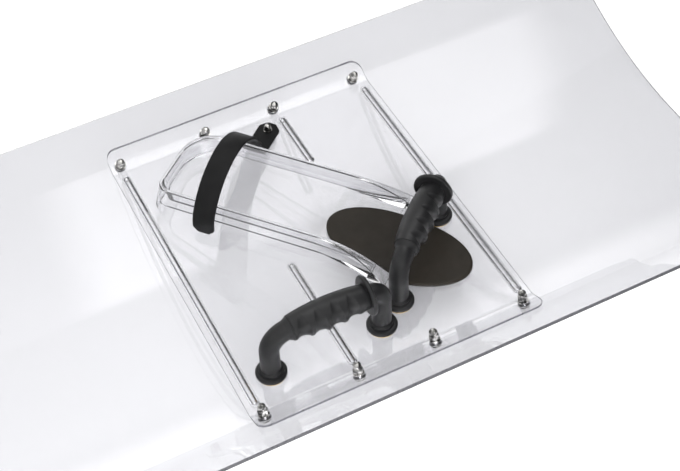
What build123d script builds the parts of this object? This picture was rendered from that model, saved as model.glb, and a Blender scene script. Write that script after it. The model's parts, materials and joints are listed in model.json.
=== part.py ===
from build123d import *

import os
from math import asin, cos, degrees, radians, sin, sqrt, tan

# Clear riot shield with a pressed forearm board, two rubber grips, an arm strap and a pad.
#
# Frame: the shield lies on the crown of its curved front face. X runs along its length,
# Y across it, +Z points up out of the user's side. The origin is under the middle of the
# crown, where the panel touches the ground. Everything is in millimetres.

# ---------------------------------------------------------------- driving dimensions
PANEL_LENGTH = 1000.0
PANEL_WIDTH = 500.0            # straight across the curve, middle of the edges
PANEL_THICKNESS = 3.5
PANEL_RADIUS = 436.0           # inside of the bend
PANEL_CORNER = 25.0
CURVE_AXIS_Z = PANEL_RADIUS + PANEL_THICKNESS

SHEET = 3.0                    # inner board's sheet
BOARD_X = 14.5                 # board's middle along the shield
BOARD_LENGTH = 328.0
BOARD_HALF_WIDTH = 213.5
BOARD_CORNER = 12.0
BOARD_TOP = 49.0               # flat middle of the board, upper face
SEAT_GAP = 0.2                 # between the board's flanges and the panel
FLANGE_OUTER = PANEL_RADIUS - SEAT_GAP
FLANGE_INNER = FLANGE_OUTER - SHEET
FOLD_RADIUS = 5.0

ROW_Y = 196.0                  # bolt rows, measured straight across
BOLT_X = (-137.5, -31.5, 56.5, 162.5)
BOLT_RADIUS = 3.0
BOLT_HOLE = 3.3

RIB_RADIUS = 5.0
RIB_DROP = 0.8                 # rib's centre below the board's face
RIB_GROOVE = 2.0
RIB_END_Y = 179.0
SIDE_RIB_X = 153.0

TRAY_AT = (98.8, -88.7)        # point on the grip's line that the tray is measured from
TRAY_ANGLE = 40.0              # forearm tray's crossways direction, from +X
TRAY_CREST = 30.0              # rims above the board
TRAY_FLOOR = 13.0              # floor above the board
TRAY_HALF = 50.0               # middle of the tray to the outside of the rim's crest
TRAY_RIM = 3.4                 # width of the crest
RIM_WALL = 2.3                 # the rims are drawn thinner than the sheet
CREST_ROUND = 1.3
TRAY_DRAFT = 14.0              # of every wall, in degrees
TRAY_ELBOW = 301.0             # grip's line to the outside of the elbow end's crest
TRAY_MOUTH = 24.0              # grip's line to the tips of the rims
TRAY_SLOPE_START = 110.0       # where the rims and the floor begin to come down
TRAY_OFFSET = 13.5             # tray's middle from that point, crossways
FLARE = 8.0                    # each rim's outward flare at the mouth

GRIP_SPACING = 127.0           # between the feet of a handle
GRIP_HEIGHT = 61.0             # grip's axis above the board
BEND_LONG = 24.0
BEND_SHORT = 13.5
CORE_RADIUS = 7.0
BOOT_RADIUS = 10.5
FOOT_RADIUS = 16.5
FOOT_THICKNESS = 5.0
FOOT_WASHER = 1.5
HANDLE_SCREW = 4.0             # shank radius
HANDLE_HOLE = 4.3
MAIN_HANDLE_AT = (96.3, -87.7)
MAIN_HANDLE_ANGLE = 42.0
SIDE_HANDLE_AT = (-45.0, -150.0)

STRAP_WIDTH = 26.0
STRAP_THICKNESS = 3.0
STRAP_REACH = 235.0            # grip's line to the strap's middle, along the tray
STRAP_SCREW_V = 114.5          # strap's screw, crossways from the grip's middle
STRAP_TAB_END = 127.0
STRAP_HINGE_V = 87.0           # where the strap leaves the board and bends up
STRAP_CHAMFER = 8.0
STRAP_RISE = 16.5              # straight stretch between the foot bend and the arch
STRAP_TAIL = 11.0              # straight stretch at the free end
STRAP_SCREW = 2.5

PAD_LENGTH = 166.0
PAD_WIDTH = 90.0
PAD_THICKNESS = 5.0
PAD_FILM = 0.5
PAD_CENTRE = (26.0, 1.5)       # along the tray and crossways

# ---------------------------------------------------------------- planes and helpers
CROSSWAYS = Vector(cos(radians(TRAY_ANGLE)), sin(radians(TRAY_ANGLE)), 0)
ELBOWWARD = Vector(-sin(radians(TRAY_ANGLE)), cos(radians(TRAY_ANGLE)), 0)


def arm_point(along, across, height=0.0):
    """A point in the tray's directions: towards the elbow, crossways, above the board."""
    base = Vector(TRAY_AT[0], TRAY_AT[1], BOARD_TOP + height)
    return base + ELBOWWARD * along + CROSSWAYS * across


def arm_plane(along, across, height=0.0):
    """Level plane in the tray's direction: X towards the elbow, Y crossways to the near side."""
    return Plane(origin=arm_point(along, across, height), x_dir=ELBOWWARD, z_dir=(0, 0, 1))


def upright(level):
    """The vertical plane through a level plane's X axis, with its Y axis pointing up."""
    return Plane(origin=level.origin, x_dir=level.x_dir, z_dir=-level.y_dir)


def bolt_plane(x, side, radius):
    """Plane on a bolt's axis at a distance from the bend's axis, facing the user."""
    tilt = asin(ROW_Y / PANEL_RADIUS)
    outward = Vector(0, side * sin(tilt), -cos(tilt))
    middle = Vector(x, 0, CURVE_AXIS_Z)
    return Plane(origin=middle + outward * radius, x_dir=(1, 0, 0), z_dir=-outward)


def bolt_planes(radius):
    return [bolt_plane(x, side, radius) for side in (-1, 1) for x in BOLT_X]


def save(builder, name):
    builder.part.label = name
    export_step(builder.part, f"parts/{name}.step")


os.makedirs("parts", exist_ok=True)
UP = (Align.CENTER, Align.CENTER, Align.MIN)
DOWN = (Align.CENTER, Align.CENTER, Align.MAX)

# ---------------------------------------------------------------- curved panel
panel_half_angle = degrees(asin(PANEL_WIDTH / 2 / (PANEL_RADIUS + PANEL_THICKNESS / 2)))
with BuildPart() as shield_panel:
    with BuildSketch(Plane.YZ.offset(-PANEL_LENGTH / 2)):
        with BuildLine():
            inner = CenterArc((0, CURVE_AXIS_Z), PANEL_RADIUS, 270 - panel_half_angle, 2 * panel_half_angle)
            outer = CenterArc((0, CURVE_AXIS_Z), CURVE_AXIS_Z, 270 - panel_half_angle, 2 * panel_half_angle)
            Line(inner @ 0, outer @ 0)
            Line(inner @ 1, outer @ 1)
        make_face()
    extrude(amount=PANEL_LENGTH)
    corners = shield_panel.edges().filter_by(GeomType.LINE).filter_by(
        lambda edge: abs(edge.length - PANEL_THICKNESS) < 0.01)
    fillet(corners, PANEL_CORNER)
    with Locations(*[plane.location for plane in bolt_planes(CURVE_AXIS_Z + 1)]):
        Cylinder(BOLT_HOLE, PANEL_THICKNESS + 2, align=UP, mode=Mode.SUBTRACT)
save(shield_panel, "shield_panel")

# ---------------------------------------------------------------- forearm tray
mouth = arm_plane(TRAY_MOUTH, TRAY_OFFSET)
draft_run = TRAY_CREST * tan(radians(TRAY_DRAFT))
tray_length = TRAY_ELBOW - TRAY_MOUTH
slope_run = TRAY_SLOPE_START - TRAY_MOUTH


def tray_outline(half, end, far_corner, near_corner):
    """Closed outline, open end first: flared mouth, straight sides, rounded elbow end."""
    with BuildLine() as line:
        far = Line((slope_run, -half), (end - far_corner, -half))
        far_arc = TangentArc(far @ 1, (end, far_corner - half), tangent=far % 1)
        across = Line(far_arc @ 1, (end, half - near_corner))
        near_arc = TangentArc(across @ 1, (end - near_corner, half), tangent=across % 1)
        near = Line(near_arc @ 1, (slope_run, half))
        near_flare = TangentArc(near @ 1, (-2, half + FLARE), tangent=near % 1)
        mouth_line = Line(near_flare @ 1, (-2, -half - FLARE))
        TangentArc(far @ 0, mouth_line @ 1, tangent=-(far % 0))
    return line


def tray_side(drop, below):
    """Side view of everything under the rims' top line, lowered by a sheet where hollow."""
    with BuildLine() as line:
        fall = TangentArc((slope_run, TRAY_CREST - drop), (-2, 0.6 - drop), tangent=(-1, 0))
        top = Line((tray_length + 40, TRAY_CREST - drop), fall @ 0)
        Polyline(top @ 0, (tray_length + 40, below), (-2, below), fall @ 1)
    return line


with BuildPart() as tray_body:
    with BuildSketch(mouth):
        add(tray_outline(TRAY_HALF + draft_run, tray_length + draft_run, 46.0, 22.0).line)
        make_face()
    extrude(amount=TRAY_CREST, taper=TRAY_DRAFT)
    with BuildSketch(upright(mouth)):
        add(tray_side(0.0, -1.0).line)
        make_face()
    extrude(amount=TRAY_HALF + 40, both=True, mode=Mode.INTERSECT)

inside_half = TRAY_HALF - TRAY_RIM - draft_run
with BuildPart() as tray_hollow:
    with BuildSketch(mouth):
        add(tray_outline(inside_half, tray_length - TRAY_RIM - draft_run, 34.0, 9.0).line)
        make_face()
    extrude(amount=TRAY_CREST + 5, taper=-TRAY_DRAFT)
    with BuildSketch(upright(mouth)):
        Polygon((-60, -5), (tray_length + 40, -5), (tray_length + 40, TRAY_FLOOR),
                (slope_run, TRAY_FLOOR), (0, 0), (-60, 0), align=None)
    extrude(amount=TRAY_HALF + 60, both=True, mode=Mode.SUBTRACT)

with BuildPart() as tray_underside:
    with BuildSketch(arm_plane(TRAY_MOUTH, TRAY_OFFSET, -SHEET)):
        add(tray_outline(TRAY_HALF + draft_run - SHEET, tray_length + draft_run - SHEET, 43.0, 19.0).line)
        make_face()
    extrude(amount=TRAY_CREST, taper=TRAY_DRAFT)
    with BuildSketch(upright(mouth)):
        Polygon((slope_run * SHEET / TRAY_FLOOR, -SHEET - 1), (tray_length + 40, -SHEET - 1),
                (tray_length + 40, TRAY_FLOOR - SHEET), (slope_run, TRAY_FLOOR - SHEET),
                (slope_run * SHEET / TRAY_FLOOR, 0), align=None)
    extrude(amount=TRAY_HALF + 40, both=True, mode=Mode.INTERSECT)

# The rims are hollow below: the tray's outside less a wall, without the inside and its wall.
with BuildPart() as rim_inside:
    with BuildSketch(arm_plane(TRAY_MOUTH, TRAY_OFFSET, TRAY_FLOOR - SHEET)):
        kept = (TRAY_FLOOR - SHEET) * tan(radians(TRAY_DRAFT)) - RIM_WALL
        add(tray_outline(inside_half + kept + 2 * RIM_WALL, tray_length - TRAY_RIM - draft_run
                         + kept + 2 * RIM_WALL, 36.0, 11.0).line)
        make_face()
    extrude(amount=TRAY_CREST + 5, taper=-TRAY_DRAFT)
with BuildPart() as rim_hollow:
    with BuildSketch(mouth):
        add(tray_outline(TRAY_HALF + draft_run - RIM_WALL, tray_length + draft_run - RIM_WALL, 44.0, 20.0).line)
        make_face()
    extrude(amount=TRAY_CREST, taper=TRAY_DRAFT)
    with BuildSketch(upright(mouth)):
        add(tray_side(RIM_WALL + 0.5, TRAY_FLOOR - SHEET - 1).line)
        make_face()
    extrude(amount=TRAY_HALF + 40, both=True, mode=Mode.INTERSECT)
    add(rim_inside.part, mode=Mode.SUBTRACT)

# ---------------------------------------------------------------- inner board
fold_y = sqrt(FLANGE_INNER ** 2 - (CURVE_AXIS_Z - BOARD_TOP) ** 2)
under_y = sqrt(FLANGE_OUTER ** 2 - (CURVE_AXIS_Z - BOARD_TOP + SHEET) ** 2)
past_edge = degrees(asin((BOARD_HALF_WIDTH + 5) / FLANGE_OUTER))     # trimmed to the outline
fold_angle = degrees(asin(fold_y / FLANGE_INNER))
under_angle = degrees(asin(under_y / FLANGE_OUTER))
main_along = Vector(cos(radians(MAIN_HANDLE_ANGLE)), sin(radians(MAIN_HANDLE_ANGLE)), 0)
main_level = Plane(origin=(*MAIN_HANDLE_AT, BOARD_TOP), x_dir=main_along, z_dir=(0, 0, 1))
side_level = Plane(origin=(*SIDE_HANDLE_AT, BOARD_TOP), x_dir=(1, 0, 0), z_dir=(0, 0, 1))
handle_feet = [level.origin + level.x_dir * side * GRIP_SPACING / 2
               for level in (main_level, side_level) for side in (-1, 1)]
strap_screw_at = arm_point(STRAP_REACH, STRAP_SCREW_V)
near_rib_end = -27.0           # stops short of the tray
far_rib_end = 96.0             # runs into the tray's wall
# x, start y, end y of each pressed rib
ribs = (
    (BOARD_X - SIDE_RIB_X, -RIB_END_Y, RIB_END_Y),
    (BOARD_X + SIDE_RIB_X, -RIB_END_Y, RIB_END_Y),
    (BOLT_X[1] + 3, -RIB_END_Y, near_rib_end),
    (BOLT_X[2] + 2.5, far_rib_end, RIB_END_Y),
)
rib_axis_z = BOARD_TOP - RIB_DROP


with BuildPart() as inner_board:
    with BuildSketch(Plane.YZ.offset(BOARD_X - BOARD_LENGTH / 2)):
        with BuildLine():
            axis = (0, CURVE_AXIS_Z)
            far_top = CenterArc(axis, FLANGE_INNER, 270 + fold_angle, past_edge - fold_angle)
            far_under = CenterArc(axis, FLANGE_OUTER, 270 + under_angle, past_edge - under_angle)
            near_top = CenterArc(axis, FLANGE_INNER, 270 - fold_angle, fold_angle - past_edge)
            near_under = CenterArc(axis, FLANGE_OUTER, 270 - under_angle, under_angle - past_edge)
            Line(near_top @ 0, far_top @ 0)
            Line(near_under @ 0, far_under @ 0)
            Line(far_top @ 1, far_under @ 1)
            Line(near_top @ 1, near_under @ 1)
        make_face()
    extrude(amount=BOARD_LENGTH)
    folds = inner_board.edges().filter_by(Axis.X).filter_by(
        lambda edge: abs(abs(edge.center().Y) - (fold_y + under_y) / 2) < 6)
    fillet(folds, FOLD_RADIUS)
    with BuildSketch():
        with Locations((BOARD_X, 0)):
            RectangleRounded(BOARD_LENGTH, 2 * BOARD_HALF_WIDTH, BOARD_CORNER)
    extrude(amount=120, mode=Mode.INTERSECT)
    for radius, mode in ((RIB_RADIUS, Mode.ADD), (RIB_GROOVE, Mode.SUBTRACT)):
        for x, start, end in ribs:
            with Locations(Location((x, (start + end) / 2, rib_axis_z), (90, 0, 0))):
                Cylinder(radius, end - start - 2 * RIB_RADIUS, mode=mode)
            with Locations((x, start + RIB_RADIUS, rib_axis_z), (x, end - RIB_RADIUS, rib_axis_z)):
                Sphere(radius, mode=mode)
    for x, start, end in ribs:
        with Locations((x, (start + end) / 2, BOARD_TOP - SHEET - 3)):
            Box(2 * RIB_GROOVE, end - start - 2 * RIB_RADIUS, 3 + SHEET - RIB_DROP, align=UP,
                mode=Mode.SUBTRACT)
    add(tray_body.part)
    add(tray_hollow.part, mode=Mode.SUBTRACT)
    add(tray_underside.part, mode=Mode.SUBTRACT)
    add(rim_hollow.part, mode=Mode.SUBTRACT)
    crest_faces = inner_board.faces().filter_by(
        lambda face: face.center().Z > BOARD_TOP + TRAY_FLOOR + 2 and face.normal_at().Z > 0.9)
    fillet([edge for edge in crest_faces.edges()
            if edge.length > 2 * TRAY_RIM and edge.center().Z > BOARD_TOP + 3], CREST_ROUND)
    with Locations(*[plane.location for plane in bolt_planes(PANEL_RADIUS + 1)]):
        Cylinder(BOLT_HOLE, SHEET + 3, align=UP, mode=Mode.SUBTRACT)
    with Locations(*[foot - Vector(0, 0, SHEET + 1) for foot in handle_feet]):
        Cylinder(HANDLE_HOLE, SHEET + 2, align=UP, mode=Mode.SUBTRACT)
    with Locations(strap_screw_at - Vector(0, 0, SHEET + 1)):
        Cylinder(STRAP_SCREW + 0.2, SHEET + 2, align=UP, mode=Mode.SUBTRACT)
save(inner_board, "inner_board")

# ---------------------------------------------------------------- panel fasteners
# Stack on each bolt, measured from the bend's axis: head, front washer, panel, flange,
# back washer, cap nut. Each plane's Z axis points to the user's side.
WASHER = 1.2
HEAD_RADIUS = 6.0
HEAD_HEIGHT = 3.2
NUT_FLATS = 10.0
NUT_HEX = 5.5
NUT_CAP = 4.5                  # radius of the round cap on the hexagon
NUT_ROUND = 3.4
NUT_HEIGHT = 12.0
NUT_BORE_DEPTH = 8.0
back_face = FLANGE_INNER - 0.05
front_face = CURVE_AXIS_Z + 0.3

with BuildPart(*bolt_planes(front_face + WASHER + 0.05)) as panel_bolts:
    shank_length = front_face - back_face + 2 * WASHER + NUT_BORE_DEPTH - 0.5
    Cylinder(BOLT_RADIUS - 0.1, shank_length, align=UP)
    Cylinder(HEAD_RADIUS, HEAD_HEIGHT, align=DOWN)
    head_rims = [edge for edge in panel_bolts.edges().filter_by(GeomType.CIRCLE)
                 if abs(edge.radius - HEAD_RADIUS) < 0.01]
    outer_rims = [edge for edge in head_rims
                  if (edge.arc_center - Vector(edge.arc_center.X, 0, CURVE_AXIS_Z)).length
                  > front_face + WASHER + 1]
    fillet(outer_rims, 2.6)
save(panel_bolts, "panel_bolts")

with BuildPart(*bolt_planes(front_face + WASHER)) as front_washers:
    Cylinder(7.0, WASHER, align=UP)
    Cylinder(BOLT_HOLE, WASHER, align=UP, mode=Mode.SUBTRACT)
save(front_washers, "front_washers")

with BuildPart(*bolt_planes(back_face - 0.05)) as back_washers:
    Cylinder(6.3, WASHER, align=UP)
    Cylinder(BOLT_HOLE, WASHER, align=UP, mode=Mode.SUBTRACT)
save(back_washers, "back_washers")


def cap_nuts_on(planes, flats, hex_height, cap, cap_round, height, bore_radius, bore_depth):
    """A cap nut standing on each plane: a hexagon with a blunt round cap, bored from below."""
    with BuildPart(*planes) as nuts:
        with BuildSketch(*planes):
            RegularPolygon(flats / 2, 6, major_radius=False)
        extrude(amount=hex_height)
        Cylinder(cap, height, align=UP)
        tops = [plane.origin + plane.z_dir * height for plane in planes]
        fillet([edge for edge in nuts.edges().filter_by(GeomType.CIRCLE)
                if min((edge.arc_center - top).length for top in tops) < 0.01], cap_round)
        Cylinder(bore_radius, bore_depth, align=UP, mode=Mode.SUBTRACT)
    return nuts


cap_nuts = cap_nuts_on(bolt_planes(back_face - WASHER - 0.1), NUT_FLATS, NUT_HEX, NUT_CAP, NUT_ROUND,
                       NUT_HEIGHT, BOLT_RADIUS - 0.05, NUT_BORE_DEPTH)
save(cap_nuts, "cap_nuts")

# ---------------------------------------------------------------- handles
GRIP_END_RADIUS = 13.6
GRIP_BELLY = 3.4               # how much the grip swells in its middle
FINGERS = 4
FINGER_START = 2.0             # from the grip's end to the first finger hollow
FINGER_PITCH = 18.2
FINGER_LAND = 1.6              # ridge left between two hollows
FINGER_DEPTH = 2.8
FINGER_FADE = 1.7              # how far the hollows' axis lies off the grip's, so that they run out
FINGER_SIDE = 50.0             # the hollows are deepest this far round from straight below
PAST = 0.3                     # cutting profiles start this far outside the surface
GUARD_RADIUS = 21.8
GUARD_THICKNESS = 5.0
COLLAR_RADIUS = 12.6
CUFF_RADIUS = 13.2             # long boot where it meets the grip
CUFF_INSIDE = 8.6
CUFF_LENGTH = 8.0
GUARD_ROUND = 2.0
SCREW_LENGTH = 26.0


def handle(level, name):
    """One bent grip standing on a level plane, with its two feet on the plane's X axis."""
    side = upright(level)
    half = GRIP_SPACING / 2
    base = FOOT_WASHER
    long_bend_x = -half + BEND_LONG
    short_bend_x = half - BEND_SHORT
    feet = ((-half, 0), (half, 0))
    grip_axis = Axis(level.origin + level.z_dir * GRIP_HEIGHT, level.x_dir)

    with BuildPart() as core:
        with BuildLine(side):
            long_leg = Line((-half, base), (-half, GRIP_HEIGHT - BEND_LONG))
            long_bend = TangentArc(long_leg @ 1, (long_bend_x, GRIP_HEIGHT), tangent=long_leg % 1)
            bar = Line(long_bend @ 1, (short_bend_x, GRIP_HEIGHT))
            short_bend = TangentArc(bar @ 1, (half, GRIP_HEIGHT - BEND_SHORT), tangent=bar % 1)
            Line(short_bend @ 1, (half, base))
        with BuildSketch(Plane(level.location * Location((-half, 0, base)))):
            Circle(CORE_RADIUS)
        sweep()
        with BuildSketch(Plane(level.location * Location((0, 0, base)))):
            with Locations(*feet):
                Circle(HANDLE_SCREW + 0.05)
        extrude(amount=SCREW_LENGTH - 4, mode=Mode.SUBTRACT)
    save(core, f"{name}_core")

    def boot(foot_x, bend_radius, end_x, label):
        """Rubber sleeve over one leg and its bend, with a foot flange and a collar."""
        toward = 1 if foot_x < 0 else -1
        with BuildPart() as sleeve:
            with BuildLine(side):
                leg = Line((foot_x, base), (foot_x, GRIP_HEIGHT - bend_radius))
                bend = TangentArc(leg @ 1, (foot_x + toward * bend_radius, GRIP_HEIGHT), tangent=leg % 1)
                Line(bend @ 1, (end_x, GRIP_HEIGHT))
            with BuildSketch(Plane(level.location * Location((foot_x, 0, base)))):
                Circle(BOOT_RADIUS)
                Circle(CORE_RADIUS + 0.05, mode=Mode.SUBTRACT)
            sweep()
            with BuildSketch(side):
                with BuildLine():
                    wall = foot_x + CORE_RADIUS + 2
                    Polyline((wall, base), (foot_x + FOOT_RADIUS - 1, base),
                             (foot_x + FOOT_RADIUS, base + 1),
                             (foot_x + FOOT_RADIUS, base + FOOT_THICKNESS - 1.5),
                             (foot_x + FOOT_RADIUS - 1.5, base + FOOT_THICKNESS),
                             (foot_x + COLLAR_RADIUS, base + FOOT_THICKNESS + 0.5),
                             (foot_x + COLLAR_RADIUS, base + FOOT_THICKNESS + 4),
                             (foot_x + BOOT_RADIUS, base + FOOT_THICKNESS + 6),
                             (wall, base + FOOT_THICKNESS + 6), close=True)
                make_face()
            revolve(axis=Axis(level.origin + level.x_dir * foot_x, level.z_dir))
            if label == "long_boot":
                with BuildSketch(side):
                    with BuildLine():
                        cuff = ThreePointArc((end_x - CUFF_LENGTH, GRIP_HEIGHT + BOOT_RADIUS - 1.2),
                                             (end_x - CUFF_LENGTH / 2, GRIP_HEIGHT + BOOT_RADIUS + 0.4),
                                             (end_x, GRIP_HEIGHT + CUFF_RADIUS))
                        Polyline(cuff @ 1, (end_x, GRIP_HEIGHT + CUFF_INSIDE),
                                 (end_x - CUFF_LENGTH, GRIP_HEIGHT + CUFF_INSIDE), cuff @ 0)
                    make_face()
                revolve(axis=grip_axis)
        save(sleeve, f"{name}_{label}")

    boot(-half, BEND_LONG, long_bend_x + 0.2, "long_boot")
    boot(half, BEND_SHORT, short_bend_x - 0.2, "short_boot")

    grip_start = long_bend_x + 0.5
    grip_end = short_bend_x - 0.5
    guard_start = grip_end - GUARD_THICKNESS
    middle = (grip_start + guard_start) / 2
    toward_fingers = (level.z_dir * -cos(radians(FINGER_SIDE))
                      - level.y_dir * sin(radians(FINGER_SIDE)))
    finger_plane = Plane(origin=level.origin + level.z_dir * GRIP_HEIGHT - toward_fingers * FINGER_FADE,
                         x_dir=level.x_dir, z_dir=level.x_dir.cross(toward_fingers))

    def surface(x):
        """The grip's surface on its finger side, measured from the hollows' axis."""
        along = (x - middle) / (guard_start - middle)
        return GRIP_END_RADIUS + GRIP_BELLY * (1 - along * along) + FINGER_FADE

    bore_start = level.origin + level.z_dir * GRIP_HEIGHT + level.x_dir * (grip_start - 1)
    with BuildPart() as grip:
        with BuildSketch(side):
            with BuildLine():
                swell = ThreePointArc((grip_start, GRIP_HEIGHT + GRIP_END_RADIUS),
                                      (middle, GRIP_HEIGHT + GRIP_END_RADIUS + GRIP_BELLY),
                                      (guard_start, GRIP_HEIGHT + GRIP_END_RADIUS))
                Polyline(swell @ 1, (guard_start, GRIP_HEIGHT + GUARD_RADIUS),
                         (grip_end, GRIP_HEIGHT + GUARD_RADIUS),
                         (grip_end, GRIP_HEIGHT), (grip_start, GRIP_HEIGHT), swell @ 0)
            make_face()
        revolve(axis=grip_axis)
        guard_rims = grip.edges().filter_by(
            lambda edge: edge.geom_type == GeomType.CIRCLE and abs(edge.radius - GUARD_RADIUS) < 0.01)
        fillet(guard_rims, GUARD_ROUND)
        with BuildSketch(finger_plane):
            for finger in range(FINGERS):
                start = grip_start + FINGER_START + finger * FINGER_PITCH
                end = start + FINGER_PITCH - FINGER_LAND
                bottom = (start + end) / 2
                outside = surface(middle) + 1
                with BuildLine():
                    hollow = ThreePointArc((start, surface(start) + PAST),
                                           (bottom, surface(bottom) - FINGER_DEPTH),
                                           (end, surface(end) + PAST))
                    Polyline(hollow @ 1, (end, outside), (start, outside), hollow @ 0)
                make_face()
        revolve(axis=Axis(finger_plane.origin, level.x_dir), mode=Mode.SUBTRACT)
        with BuildSketch(Plane(origin=bore_start, z_dir=level.x_dir)):
            Circle(CORE_RADIUS + 0.05)
        extrude(amount=grip_end - grip_start + 2, mode=Mode.SUBTRACT)
    save(grip, f"{name}_grip")

    with BuildPart(level) as plates:
        with Locations(*feet):
            Cylinder(FOOT_RADIUS - 1.2, FOOT_WASHER - 0.1, align=UP)
            Cylinder(HANDLE_HOLE, FOOT_WASHER, align=UP, mode=Mode.SUBTRACT)
    save(plates, f"{name}_foot_plates")

    under = level.offset(-SHEET - 0.05)
    with BuildPart(under) as washers:
        with Locations(*feet):
            Cylinder(11.0, 1.6, align=DOWN)
            Cylinder(HANDLE_HOLE, 2, align=DOWN, mode=Mode.SUBTRACT)
    save(washers, f"{name}_washers")

    screw_level = under.offset(-1.65)
    with BuildPart(screw_level) as screws:
        with BuildSketch(screw_level):
            with Locations(*feet):
                RegularPolygon(6.5, 6, major_radius=False)
        extrude(amount=-5.3)
        with Locations(*feet):
            Cylinder(HANDLE_SCREW, SCREW_LENGTH, align=UP)
    save(screws, f"{name}_screws")


handle(main_level, "main_handle")
handle(side_level, "side_handle")

# ---------------------------------------------------------------- arm strap
# Drawn in the upright plane across the tray: X crossways from the grip's middle,
# Y above the board. The band bends up beyond the far rim and comes down past the near one.
strap_side = Plane(origin=arm_point(STRAP_REACH, 0), x_dir=CROSSWAYS,
                   z_dir=CROSSWAYS.cross(Vector(0, 0, 1)))
band_height = STRAP_THICKNESS / 2 + 0.1
TAB_GAP = 0.3
half_strap = STRAP_WIDTH / 2

with BuildPart() as strap_tab:
    tab_start = STRAP_HINGE_V + STRAP_THICKNESS / 2 + TAB_GAP
    with BuildSketch(arm_plane(STRAP_REACH, 0, 0.1)):
        with BuildLine():
            Polyline((-half_strap, -tab_start), (half_strap, -tab_start),
                     (half_strap, STRAP_CHAMFER - STRAP_TAB_END),
                     (half_strap - STRAP_CHAMFER, -STRAP_TAB_END),
                     (STRAP_CHAMFER - half_strap, -STRAP_TAB_END),
                     (-half_strap, STRAP_CHAMFER - STRAP_TAB_END), close=True)
        make_face()
    extrude(amount=STRAP_THICKNESS)
    with Locations(strap_screw_at - Vector(0, 0, 1)):
        Cylinder(STRAP_SCREW + 0.2, STRAP_THICKNESS + 2, align=UP, mode=Mode.SUBTRACT)
save(strap_tab, "strap_tab")

with BuildPart() as strap_band:
    with BuildSketch(strap_side):
        with BuildLine() as band_line:
            foot_bend = JernArc((STRAP_HINGE_V, band_height), (-1, 0), 9, -72)
            rise = Line(foot_bend @ 1, (foot_bend @ 1) + (foot_bend % 1) * STRAP_RISE)
            shoulder = JernArc(rise @ 1, rise % 1, 56, 72)
            crown = JernArc(shoulder @ 1, shoulder % 1, 80, 58)
            far_side = JernArc(crown @ 1, crown % 1, 30, 26)
            Line(far_side @ 1, (far_side @ 1) + (far_side % 1) * STRAP_TAIL)
        trace(line_width=STRAP_THICKNESS)
        with Locations((STRAP_HINGE_V, band_height)):
            Circle(STRAP_THICKNESS / 2)
    extrude(amount=half_strap, both=True)
    band_end = band_line.line @ 1
    tip = strap_side.from_local_coords(Vector(band_end.X, band_end.Y, 0))
    tip_edges = strap_band.edges().filter_by(lambda edge: abs(edge.length - STRAP_THICKNESS) < 0.01)
    tip_edges = tip_edges.filter_by(lambda edge: (edge.center() - tip).length < half_strap + 1)
    chamfer(tip_edges, STRAP_CHAMFER - 2)
save(strap_band, "strap_band")

strap_level = Plane(origin=strap_screw_at, x_dir=ELBOWWARD, z_dir=(0, 0, 1))
strap_face = strap_level.offset(STRAP_THICKNESS + 0.15)
with BuildPart(strap_face) as strap_washer:
    Cylinder(5.2, 1.0, align=UP)
    Cylinder(STRAP_SCREW + 0.2, 1.0, align=UP, mode=Mode.SUBTRACT)
save(strap_washer, "strap_washer")

STRAP_NUT_FLATS = 8.0
STRAP_NUT_HEX = 3.6
STRAP_NUT_CAP = 3.6
STRAP_NUT_ROUND = 2.7
STRAP_NUT_HEIGHT = 7.7
STRAP_NUT_BORE = 5.2
strap_nut = cap_nuts_on([strap_face.offset(1.05)], STRAP_NUT_FLATS, STRAP_NUT_HEX, STRAP_NUT_CAP,
                        STRAP_NUT_ROUND, STRAP_NUT_HEIGHT, STRAP_SCREW + 0.05, STRAP_NUT_BORE)
save(strap_nut, "strap_nut")

with BuildPart(strap_level.offset(-SHEET - 0.05)) as strap_back_washer:
    Cylinder(7.5, 1.2, align=DOWN)
    Cylinder(STRAP_SCREW + 0.2, 2, align=DOWN, mode=Mode.SUBTRACT)
save(strap_back_washer, "strap_back_washer")

with BuildPart(strap_level.offset(-SHEET - 1.3)) as strap_screw:
    Cylinder(STRAP_SCREW, SHEET + STRAP_THICKNESS + 1.3 + 1.1 + STRAP_NUT_BORE - 0.5, align=UP)
    Cylinder(4.8, 2.8, align=DOWN)
    head_rim = strap_screw.edges().filter_by(GeomType.CIRCLE).group_by(Axis.Z)[0]
    fillet(head_rim, 2.0)
save(strap_screw, "strap_screw")

# ---------------------------------------------------------------- knuckle pad
# A foam oval on the tray's sloping floor and the board in front of it, kept clear of the
# tray's near rim, on a thin adhesive film.


def pad_layer(bottom, thickness, margin):
    """One layer of the pad: the oval cut from a strip that follows the floor and the board."""
    reach = PAD_LENGTH
    with BuildPart() as layer:
        with BuildSketch(upright(mouth)):
            Polygon((-reach, bottom), (0, bottom), (slope_run, TRAY_FLOOR + bottom),
                    (reach, TRAY_FLOOR + bottom), (reach, TRAY_FLOOR + bottom + thickness),
                    (slope_run, TRAY_FLOOR + bottom + thickness), (0, bottom + thickness),
                    (-reach, bottom + thickness), align=None)
        extrude(amount=PAD_WIDTH, both=True)
        with BuildSketch(arm_plane(PAD_CENTRE[0], PAD_CENTRE[1])):
            Ellipse(PAD_LENGTH / 2 - margin, PAD_WIDTH / 2 - margin)
        extrude(amount=TRAY_CREST + 10, mode=Mode.INTERSECT)
        with BuildSketch(mouth):
            with BuildLine():
                near = Line((slope_run, inside_half - 1), (tray_length, inside_half - 1))
                flare = TangentArc(near @ 0, (-2, inside_half - 1 + FLARE), tangent=-(near % 0))
                Polyline(near @ 1, (tray_length, -PAD_WIDTH), (-reach, -PAD_WIDTH), (-reach, PAD_WIDTH),
                         (-2, PAD_WIDTH), flare @ 1)
            make_face()
        extrude(amount=TRAY_CREST + 10, mode=Mode.INTERSECT)
    return layer


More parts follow.
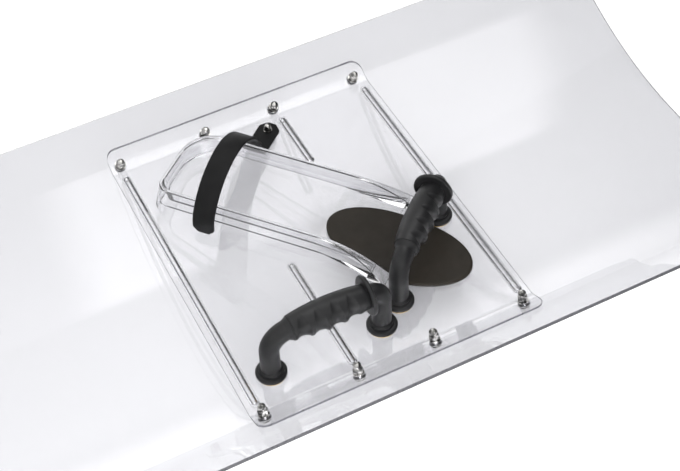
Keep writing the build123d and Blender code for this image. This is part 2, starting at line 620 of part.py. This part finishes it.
pad_film = pad_layer(0.1, PAD_FILM, 2.0)
save(pad_film, "pad_film")
knuckle_pad = pad_layer(0.2 + PAD_FILM, PAD_THICKNESS, 0.0)
save(knuckle_pad, "knuckle_pad")
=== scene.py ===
import json
from math import cos, pi, radians, sin, sqrt, tan

import bmesh
import bpy
from mathutils import Matrix, Vector


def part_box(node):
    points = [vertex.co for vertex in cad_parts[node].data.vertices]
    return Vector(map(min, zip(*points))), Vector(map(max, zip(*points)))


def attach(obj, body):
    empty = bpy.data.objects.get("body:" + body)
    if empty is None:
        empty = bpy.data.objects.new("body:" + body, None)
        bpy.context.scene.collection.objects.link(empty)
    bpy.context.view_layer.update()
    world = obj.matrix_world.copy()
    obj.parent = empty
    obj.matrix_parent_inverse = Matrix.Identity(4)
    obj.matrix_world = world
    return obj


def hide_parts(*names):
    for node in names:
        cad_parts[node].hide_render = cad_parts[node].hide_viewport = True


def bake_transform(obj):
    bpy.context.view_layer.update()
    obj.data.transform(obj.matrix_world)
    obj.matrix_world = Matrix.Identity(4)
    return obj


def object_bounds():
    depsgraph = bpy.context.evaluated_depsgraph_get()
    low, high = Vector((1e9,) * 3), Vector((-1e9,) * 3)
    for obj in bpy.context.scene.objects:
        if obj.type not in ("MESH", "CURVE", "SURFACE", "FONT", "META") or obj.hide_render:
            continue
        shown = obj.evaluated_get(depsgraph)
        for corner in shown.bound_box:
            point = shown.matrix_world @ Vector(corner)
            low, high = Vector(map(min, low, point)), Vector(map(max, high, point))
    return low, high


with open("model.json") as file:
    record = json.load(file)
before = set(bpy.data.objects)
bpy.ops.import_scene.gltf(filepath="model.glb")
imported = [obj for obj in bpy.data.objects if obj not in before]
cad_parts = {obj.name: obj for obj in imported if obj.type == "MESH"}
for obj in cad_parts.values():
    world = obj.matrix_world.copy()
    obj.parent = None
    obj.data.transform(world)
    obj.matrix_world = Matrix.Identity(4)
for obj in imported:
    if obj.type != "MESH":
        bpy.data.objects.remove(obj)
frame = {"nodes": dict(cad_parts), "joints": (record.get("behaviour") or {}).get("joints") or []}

cad_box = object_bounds()
scene = bpy.context.scene
scene.view_settings.view_transform = "Standard"
nodes = frame["nodes"]

# ---------------------------------------------------------------- sizes, in metres
# The same as in the part's source.
BEND_AXIS_Z = 0.4395           # the panel is bent about a line along X at this height
BOARD_CORNER = 0.012
TRAY_ANGLE = radians(40.0)     # the forearm tray's crossways direction, from +X
TRAY_CREST, TRAY_FLOOR = 0.030, 0.013      # rims and floor above the board
TRAY_HALF, TRAY_RIM = 0.050, 0.0034        # middle to the outside of a rim, and its width
TRAY_DRAFT = radians(14)       # lean of its walls
TRAY_OFFSET = 0.0135           # the tray's middle from the grip's middle, crossways
TRAY_FLARE = 0.008             # outward flare of each rim at the mouth
# Along the tray: the tips of its rims, and where rims and floor are at their full height.
TRAY_MOUTH, TRAY_LEVEL = 0.024, 0.110
# Limits for telling cut edges from the rest of a sheet.
PANEL_EDGE_BAND = 0.0255       # a little over the panel's corner radius
TOUCH = 0.0001                 # closer than this counts as at the very edge


# ---------------------------------------------------------------- node helpers
def add_node(tree, kind, links=(), values=(), **settings):
    """A new node, with its settings, links into some inputs and plain values in others."""
    node = tree.nodes.new(kind)
    for key, value in settings.items():
        setattr(node, key, value)
    for socket, source in links:
        tree.links.new(source, node.inputs[socket])
    for socket, value in values:
        node.inputs[socket].default_value = value
    return node


def map_range(tree, source, start, end, low, high, **settings):
    """The value of source, carried from start..end over to low..high."""
    ends = (("From Min", start), ("From Max", end), ("To Min", low), ("To Max", high))
    return add_node(tree, "ShaderNodeMapRange", [("Value", source)], ends, **settings).outputs[0]


def colour_ramp(tree, source, stops):
    """A colour by the value of source; each stop is a position and a colour."""
    node = add_node(tree, "ShaderNodeValToRGB", [("Fac", source)])
    elements = node.color_ramp.elements
    while len(elements) < len(stops):
        elements.new(0.5)
    for element, (at, colour) in zip(elements, stops):
        element.position = at
        element.color = (*colour, 1)
    return node.outputs[0]


def maths(tree, operation, *terms):
    """The result of an operation on its terms, each one a socket or a plain float."""
    node = add_node(tree, "ShaderNodeMath", operation=operation)
    for socket, term in zip(node.inputs, terms):
        if isinstance(term, float):
            socket.default_value = term
        else:
            tree.links.new(term, socket)
    return node.outputs[0]


class Surface:
    """A material's node tree, with short calls for the nodes that the materials share."""

    def __init__(self, name):
        self.material = bpy.data.materials.new(name)
        self.material.use_nodes = True
        self.tree = self.material.node_tree
        self.shader = self.tree.nodes["Principled BSDF"]
        self.place = add_node(self.tree, "ShaderNodeTexCoord").outputs["Object"]

    def set(self, **values):
        for key, value in values.items():
            self.shader.inputs[key.replace("_", " ")].default_value = value

    def link(self, source, socket):
        self.tree.links.new(source, self.shader.inputs[socket])

    def noise(self, scale, detail=3.0, roughness=0.5, stretch=None):
        source = self.place
        if stretch:
            source = add_node(self.tree, "ShaderNodeMapping", [("Vector", source)],
                              [("Scale", stretch)]).outputs[0]
        values = (("Scale", scale), ("Detail", detail), ("Roughness", roughness))
        return add_node(self.tree, "ShaderNodeTexNoise", [("Vector", source)],
                        values).outputs["Fac"]

    def spread(self, source, low, high, start=0.3, end=0.7):
        return map_range(self.tree, source, start, end, low, high)

    def colours(self, source, *stops):
        self.link(colour_ramp(self.tree, source, stops), "Base Color")

    def bump(self, source, distance, strength=1.0, after=None):
        links = [("Height", source)] + ([("Normal", after)] if after else [])
        values = (("Distance", distance), ("Strength", strength))
        return add_node(self.tree, "ShaderNodeBump", links, values).outputs[0]


# ---------------------------------------------------------------- materials
POLYCARBONATE_IOR = 1.586


def clear_sheet(name, tint_and_painted_shade, shade, wave):
    """Clear polycarbonate: bends what is behind it, and lets lamps through to what is under it.

    The given colour is the sheet's own, deepened with painted shade for what shows through it;
    shade is what each of its faces passes of the lamps.
    """
    t = Surface(name)
    t.set(Base_Color=(*tint_and_painted_shade, 1), Transmission_Weight=1.0, IOR=POLYCARBONATE_IOR)
    scuffs = t.noise(900.0, detail=2.0, roughness=0.6, stretch=(1.0, 0.12, 1.0))
    t.link(t.spread(scuffs, 0.0, 0.05, start=0.66, end=0.9), "Roughness")
    t.link(t.bump(t.noise(9.0, detail=1.0), wave), "Normal")
    path = add_node(t.tree, "ShaderNodeLightPath").outputs
    to_lamps = maths(t.tree, "MAXIMUM", path["Is Shadow Ray"], path["Is Diffuse Ray"])
    open_side = add_node(t.tree, "ShaderNodeBsdfTransparent",
                         values=[("Color", (shade, shade, shade, 1))]).outputs[0]
    mix = add_node(t.tree, "ShaderNodeMixShader",
                   [(0, to_lamps), (1, t.shader.outputs[0]), (2, open_side)]).outputs[0]
    t.tree.links.new(mix, t.tree.nodes["Material Output"].inputs["Surface"])
    return t.material


def cut_edge(name, tint_and_painted_shade):
    """Sawn and scraped edge of the clear sheet: frosted, with fine tool marks, and a dark colour
    that is painted shade.
    """
    t = Surface(name)
    t.set(Transmission_Weight=0.3, IOR=POLYCARBONATE_IOR)
    t.colours(t.noise(240.0), (0.3, [c * 0.85 for c in tint_and_painted_shade]), (0.7, tint_and_painted_shade))
    t.link(t.spread(t.noise(500.0), 0.22, 0.42), "Roughness")
    tool_marks = t.noise(1800.0, detail=2.0, stretch=(0.1, 0.1, 1.0))
    t.link(t.bump(tool_marks, 0.00004), "Normal")
    return t.material


def plated(name, dark, light, smooth, rough, grain=0.0, band=(0.3, 0.7)):
    """Plated metal: blotchy in tone and shine, with brushing where grain is set.
    Near-black blotches, as on the nickel, are painted reflections of dark surroundings.

    band is the stretch of the blotches' noise over which the dark tone turns into the light.
    """
    t = Surface(name)
    t.set(Metallic=1.0)
    t.colours(t.noise(160.0, detail=4.0), (band[0], dark), (band[1], light))
    t.link(t.spread(t.noise(420.0, detail=5.0, roughness=0.65), smooth, rough), "Roughness")
    if grain:
        brushing = t.noise(2600.0, detail=2.0, roughness=0.6, stretch=(1.0, 0.08, 1.0))
        t.link(t.bump(brushing, grain), "Normal")
    else:
        t.link(t.bump(t.noise(500.0, detail=2.0), 0.00001), "Normal")
    return t.material


def moulded_rubber(name, dark, light, smooth, rough, grain, spec=0.5):
    """Moulded rubber: clouded tone and shine, a fine grain, and slower waves over it."""
    t = Surface(name)
    t.set(Specular_IOR_Level=spec)
    t.colours(t.noise(38.0, detail=5.0, roughness=0.6), (0.35, dark), (0.7, light))
    t.link(t.spread(t.noise(70.0, detail=4.0, roughness=0.6), smooth, rough), "Roughness")
    skin = t.bump(t.noise(1500.0, roughness=0.6), grain)
    waves = t.noise(120.0, detail=2.0)
    t.link(t.bump(waves, grain * 3, strength=0.6, after=skin), "Normal")
    return t.material


# Both sheets' colours are their own, darkened with painted shade for the shaded floor seen through
# them, most in the panel.
panel_clear = clear_sheet("panel_clear", (0.61, 0.61, 0.635), shade=0.985, wave=0.00002)
board_clear = clear_sheet("board_clear", (0.94, 0.94, 0.95), shade=0.99, wave=0.00004)
# Painted shade: the cut edges' dark colours stand in for how dark the light leaves a clear sheet's
# edges.
panel_edge = cut_edge("panel_edge", (0.09, 0.09, 0.10))
board_edge = cut_edge("board_edge", (0.13, 0.13, 0.155))
# Painted reflections: the nickel's near-black blotches stand in for the dark surroundings it
# mirrors.
nickel = plated("bright_nickel", (0.09, 0.09, 0.088), (0.66, 0.65, 0.63), 0.06, 0.16,
                band=(0.42, 0.58))
zinc = plated("zinc_plate", (0.50, 0.50, 0.51), (0.66, 0.66, 0.66), 0.26, 0.42, grain=0.00003)
yellow_plate = plated("yellow_plate", (0.62, 0.42, 0.16), (0.80, 0.58, 0.27), 0.25, 0.4,
                      grain=0.00002)
bar_steel = plated("bar_steel", (0.30, 0.30, 0.31), (0.45, 0.45, 0.45), 0.35, 0.5,
                   grain=0.00004)
rubber = moulded_rubber("grip_rubber", (0.004, 0.004, 0.0045), (0.010, 0.010, 0.0105),
                        0.34, 0.48, grain=0.00005, spec=0.4)
strap_rubber = moulded_rubber("strap_rubber", (0.003, 0.003, 0.0033), (0.006, 0.006, 0.0063),
                              0.42, 0.55, grain=0.00002, spec=0.2)
foam = moulded_rubber("pad_foam", (0.012, 0.010, 0.0075), (0.016, 0.013, 0.010), 0.45, 0.6,
                      grain=0.00006, spec=0.25)
film = moulded_rubber("adhesive_film", (0.03, 0.027, 0.024), (0.05, 0.045, 0.04), 0.35, 0.5,
                      grain=0.00002)

FINISHES = {
    "shield_panel": panel_clear,
    "inner_board": board_clear,
    "panel_bolts": nickel, "back_washers": nickel, "cap_nuts": nickel,
    "strap_washer": nickel, "strap_nut": nickel, "strap_screw": nickel,
    "front_washers": zinc, "strap_back_washer": zinc,
    "pad_film": film,
}
for handle in ("main_handle", "side_handle"):
    FINISHES.update({
        f"{handle}_core": bar_steel,
        f"{handle}_foot_plates": yellow_plate,
        f"{handle}_washers": zinc, f"{handle}_screws": zinc,
        f"{handle}_grip": rubber, f"{handle}_long_boot": rubber, f"{handle}_short_boot": rubber,
    })
for name, material in FINISHES.items():
    nodes[name].data.materials.clear()
    nodes[name].data.materials.append(material)


def frost_and_shade_edges(node, edge_material, is_cut):
    """Gives the sheet's cut edges a frosted finish with painted shade, where is_cut(normal,
    centre) is true.
    """
    data = nodes[node].data
    data.materials.append(edge_material)
    for polygon in data.polygons:
        if is_cut(polygon.normal, polygon.center):
            polygon.material_index = 1


panel_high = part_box("shield_panel")[1]
board_low, board_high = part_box("inner_board")
board_middle = (board_low + board_high) / 2
board_half = (board_high - board_low) / 2


def panel_is_cut(normal, at):
    """The panel's skins face along the bend's radius, the cut edges of its outline across it."""
    outward = Vector((0, at.y, at.z - BEND_AXIS_Z)).normalized()
    past = max(abs(at.x) - panel_high.x, abs(at.y) - panel_high.y)
    return abs(normal.dot(outward)) < 0.5 and past > -PANEL_EDGE_BAND


def board_is_cut(normal, at):
    """The board's upright faces on its outline: at its rounded corners, ends and sides."""
    out_x, out_y = abs(at.x - board_middle.x), abs(at.y)
    corner = out_x > board_half.x - BOARD_CORNER and out_y > board_half.y - BOARD_CORNER
    straight = out_x > board_half.x - TOUCH or out_y > board_half.y - TOUCH
    return abs(normal.z) < 0.01 and (corner or straight)


frost_and_shade_edges("shield_panel", panel_edge, panel_is_cut)
frost_and_shade_edges("inner_board", board_edge, board_is_cut)

# ---------------------------------------------------------------- the arm's directions
# u runs along the forearm tray towards the elbow, v across it, h above the board's flat top.
ELBOWWARD = Vector((-sin(TRAY_ANGLE), cos(TRAY_ANGLE), 0))
CROSSWAYS = Vector((cos(TRAY_ANGLE), sin(TRAY_ANGLE), 0))
swivel = frame["joints"][0]    # its axis runs down the middle of the strap's screw
STRAP_U, SCREW_V = 0.235, 0.1145           # where that screw is, along and across the tray
SKIN = 0.0016                  # middle of the strap's thickness above the board
ORIGIN = Vector(swivel["pos_m"]) - ELBOWWARD * STRAP_U - CROSSWAYS * SCREW_V - Vector((0, 0, SKIN))


def arm(u, v, h):
    """The point at u, v and h in the arm's directions."""
    return ORIGIN + ELBOWWARD * u + CROSSWAYS * v + Vector((0, 0, h))


def mesh_piece(name, rings, material):
    """A smooth closed skin over rings of equal length, each ring a closed loop of points."""
    mesh = bmesh.new()
    loops = [[mesh.verts.new(p) for p in ring] for ring in rings]
    for one, two in zip(loops, loops[1:]):
        for i in range(len(one)):
            j = (i + 1) % len(one)
            mesh.faces.new((one[i], one[j], two[j], two[i]))
    mesh.faces.new(list(reversed(loops[0])))
    mesh.faces.new(loops[-1])
    bmesh.ops.recalc_face_normals(mesh, faces=mesh.faces)
    data = bpy.data.meshes.new(name)
    mesh.to_mesh(data)
    mesh.free()
    data.materials.append(material)
    for polygon in data.polygons:
        polygon.use_smooth = True
    piece = bpy.data.objects.new(name, data)
    scene.collection.objects.link(piece)
    return piece


# ---------------------------------------------------------------- arm strap
# Its middle line in the upright plane across the tray: flat under the screw, up beyond the
# far rim, over the arm, and down past the near rim to a free end.
STRAP_HALF, STRAP_THICK = 0.013, 0.003
TAB_CUT, TAIL_CUT = 0.008, 0.006           # cut-off corners at the screw's end and the free end
END_THINNING = 0.72            # share of the thickness left at the very ends
TAB_END, HINGE_V = 0.127, 0.087            # the strap's end beyond its screw, and its hinge line


def bend(radius, degrees):
    """A run along an arc; a turn below zero bends the strap up off the board."""
    return radius * radians(abs(degrees)), degrees


# Each run is a length and the degrees turned over it: the flat tab, the bend at its foot, the
# rise, the arch in two bends, the curl towards the board and the straight tail.
RUNS = ((TAB_END - HINGE_V, 0), bend(0.009, -72), (0.0165, 0), bend(0.056, 72),
        bend(0.080, 58), bend(0.030, 26), (0.011, 0))


def strap_line(step=0.0015):
    """Points (v, h, heading, distance) along the strap's middle line."""
    v, h, heading, gone = TAB_END, SKIN, pi, 0.0
    points = [(v, h, heading, gone)]
    for length, turn in RUNS:
        count = max(2, round(length / step))
        for _ in range(count):
            heading += radians(turn) / count / 2
            v += cos(heading) * length / count
            h += sin(heading) * length / count
            heading += radians(turn) / count / 2
            gone += length / count
            points.append((v, h, heading, gone))
    return points


def strap_ring(v, h, heading, half, thick, corner=0.0008, steps=3):
    """A flat oblong with rounded corners, square to the strap's line."""
    over = Vector((-sin(heading), cos(heading)))
    ring = []
    for side_u, side_t, start in ((1, 1, 0), (-1, 1, 90), (-1, -1, 180), (1, -1, 270)):
        for i in range(steps + 1):
            a = radians(start + 90 * i / steps)
            u = side_u * (half - corner) + corner * cos(a)
            t = side_t * (thick / 2 - corner) + corner * sin(a)
            ring.append(arm(STRAP_U + u, v + over.x * t, h + over.y * t))
    return ring


line = strap_line()
whole = line[-1][3]
rings = []
for v, h, heading, gone in line:
    from_end = min(gone, whole - gone)
    cut = TAB_CUT if gone < whole / 2 else TAIL_CUT
    half = STRAP_HALF - max(0.0, cut - from_end)
    thick = STRAP_THICK * (END_THINNING if from_end < TOUCH else 1.0)
    rings.append(strap_ring(v, h, heading, half, thick))
strap = mesh_piece("arm_strap", rings, strap_rubber)
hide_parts("strap_tab", "strap_band")
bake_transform(strap)

# ---------------------------------------------------------------- knuckle pad
PAD_U, PAD_V = 0.026, 0.0015   # its middle
PAD_LONG, PAD_WIDE, PAD_THICK = 0.083, 0.045, 0.0050       # half length, half width, thickness
PAD_BASE = 0.0007              # the pad's underside, just above its film
PAD_CROWN = 0.0003             # how much the top swells in its middle
PAD_ROUND, ROUND_SHARE, UNDER_ROUND = 0.0011, 0.03, 0.6    # rounded rim: depth, reach, underside
WALL_GAP = 0.0012              # between the pad and the foot of the near wall
WALL_GIVE = 0.004              # how gently the pad's outline turns to follow that wall
WALL_FOOT = TRAY_OFFSET - (TRAY_HALF - TRAY_RIM - TRAY_CREST * tan(TRAY_DRAFT)) + WALL_GAP


def floor_height(u):
    """Height above the board of the tray's floor, which slopes down to nothing at its mouth."""
    x = (u - TRAY_MOUTH) / (TRAY_LEVEL - TRAY_MOUTH)
    return TRAY_FLOOR * min(1.0, max(0.0, x))


def near_wall(u):
    """The line along the tray's near wall that the pad keeps to, flaring towards the mouth."""
    out = max(0.0, TRAY_LEVEL - u) / (TRAY_LEVEL - TRAY_MOUTH)
    return WALL_FOOT - TRAY_FLARE * out * out


def pad_point(share, angle, top):
    """A point of the pad's top or bottom skin, at a share of the way out to its rim."""
    u = PAD_U + PAD_LONG * share * cos(angle)
    v = PAD_V + PAD_WIDE * share * sin(angle)
    if u > TRAY_MOUTH - WALL_GIVE:
        over = near_wall(max(u, TRAY_MOUTH)) - v
        v += (over + sqrt(over * over + WALL_GIVE * WALL_GIVE)) / 2
    round_off = PAD_ROUND * max(0.0, 1 - (1.0 - share) / ROUND_SHARE) ** 2
    crown = PAD_CROWN * (1 - share * share)
    h = floor_height(u) + PAD_BASE
    h += (PAD_THICK - round_off + crown - PAD_CROWN) if top else round_off * UNDER_ROUND
    return arm(u, v, h)


# Points in each ring, and how far out each ring is, from the middle to the rim.
AROUND = 160
SHARES = [0.02, 0.15, 0.3, 0.45, 0.6, 0.72, 0.82, 0.9, 0.95, 0.975, 0.99, 1.0]
rings = []
for top, shares in ((True, SHARES), (False, reversed(SHARES))):
    for share in shares:
        rings.append([pad_point(share, 2 * pi * i / AROUND, top) for i in range(AROUND)])
pad = mesh_piece("foam_pad", rings, foam)
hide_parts("knuckle_pad")
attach(pad, "shield")

# ---------------------------------------------------------------- floor
FLOOR_REACH = 12.0
FLOOR_GAP = 0.0005             # under the shield's lowest point
corners = [(x * FLOOR_REACH, y * FLOOR_REACH, 0) for x, y in ((-1, -1), (1, -1), (1, 1), (-1, 1))]
floor_mesh = bpy.data.meshes.new("floor")
floor_mesh.from_pydata(corners, [], [(0, 1, 2, 3)])
floor = bpy.data.objects.new("floor", floor_mesh)
floor.location.z = cad_box[0][2] - FLOOR_GAP
scene.collection.objects.link(floor)
paper = Surface("floor_paper")
paper.set(Base_Color=(0.86, 0.86, 0.86, 1), Roughness=0.9, Specular_IOR_Level=0.1)
floor_mesh.materials.append(paper.material)


# ---------------------------------------------------------------- studio light
def fade(tree, source, start, end, low=0.0, high=1.0):
    """An eased change from low to high, as the value of source goes from start to end."""
    return map_range(tree, source, start, end, low, high, interpolation_type="SMOOTHSTEP")


# Brightness by how far up a direction points, from level to straight up.
SKY_LEVELS = ((0.0, 0.35), (0.12, 0.42), (0.45, 0.85), (1.0, 1.0))
BACKDROP_GLOW = 2.6

world = bpy.data.worlds.new("studio")
scene.world = world
world.use_nodes = True
sky = world.node_tree
direction = add_node(sky, "ShaderNodeTexCoord").outputs["Generated"]
toward = add_node(sky, "ShaderNodeSeparateXYZ", [(0, direction)]).outputs
sky_colour = colour_ramp(sky, toward["Z"], [(at, [level] * 3) for at, level in SKY_LEVELS])
# The studio's dark side is on the right.
sides = fade(sky, toward["X"], 0.3, 0.52, low=0.93, high=0.12)
# A bright backdrop stands behind the far long edge, low down.
backdrop = maths(sky, "MULTIPLY", fade(sky, toward["Y"], 0.78, 0.93),
                 fade(sky, toward["Z"], 0.34, 0.12))
sky_strength = maths(sky, "MULTIPLY_ADD", backdrop, BACKDROP_GLOW, sides)
background = sky.nodes["Background"].inputs
sky.links.new(sky_colour, background["Color"])
sky.links.new(sky_strength, background["Strength"])


def lamp(name, kind, at, look_at, energy, glossy=True, **settings):
    """A lamp at one point, turned towards another; glossy is whether shiny faces mirror it."""
    data = bpy.data.lights.new(name, kind)
    data.energy = energy
    for key, value in settings.items():
        setattr(data, key, value)
    piece = bpy.data.objects.new(name, data)
    piece.location = at
    aim = Vector(look_at) - Vector(at)
    piece.rotation_euler = aim.to_track_quat("-Z", "Y").to_euler()
    piece.visible_glossy = glossy
    scene.collection.objects.link(piece)
    return data


box = lamp("overhead_box", "AREA", (0.56, 0.38, 1.6), (0.56, 0.38, 0.0), 6.5,
           shape="RECTANGLE", size=1.38, size_y=1.08)
# The box's cloth is evenly bright and fades out close to its frame.
box.use_nodes = True
cloth = box.node_tree
across = add_node(cloth, "ShaderNodeNewGeometry").outputs["Parametric"]
spot = add_node(cloth, "ShaderNodeSeparateXYZ", [(0, across)]).outputs
off_middle = [maths(cloth, "ABSOLUTE", maths(cloth, "SUBTRACT", spot[axis], 0.5))
              for axis in ("X", "Y")]
brightness = maths(cloth, "MULTIPLY", *[fade(cloth, off, 0.5, 0.38) for off in off_middle])
cloth.links.new(brightness, cloth.nodes["Emission"].inputs["Strength"])
# Two fills that shiny faces don't mirror: a wide lamp in front and a soft sun from above.
lamp("front_fill", "AREA", (-0.3, -1.12, 0.85), (0.0, -0.25, 0.0), 31.0, glossy=False, size=1.1)
lamp("fill_sun", "SUN", (0, 0, 3), (0.15, 0.35, 0), 0.7, glossy=False, angle=radians(70))

# ---------------------------------------------------------------- camera, fitted to the photo
CAMERA_AT = Vector((-0.4071, -0.9791, 1.2715))
CAMERA_RIGHT = Vector((0.89045, -0.45385, -0.03348)).normalized()
CAMERA_VIEW = Vector((0.27447, 0.59427, -0.75598)).normalized()
CAMERA_UP = CAMERA_RIGHT.cross(CAMERA_VIEW)
SENSOR_WIDTH, LENS = 36.0, 78.14           # millimetres

camera_data = bpy.data.cameras.new("photo_camera")
camera_data.sensor_width = SENSOR_WIDTH
camera_data.lens = LENS
camera = bpy.data.objects.new("photo_camera", camera_data)
turn = Matrix((CAMERA_RIGHT, CAMERA_UP, -CAMERA_VIEW)).transposed()
camera.matrix_world = turn.to_4x4()
camera.location = CAMERA_AT
scene.collection.objects.link(camera)
scene.camera = camera
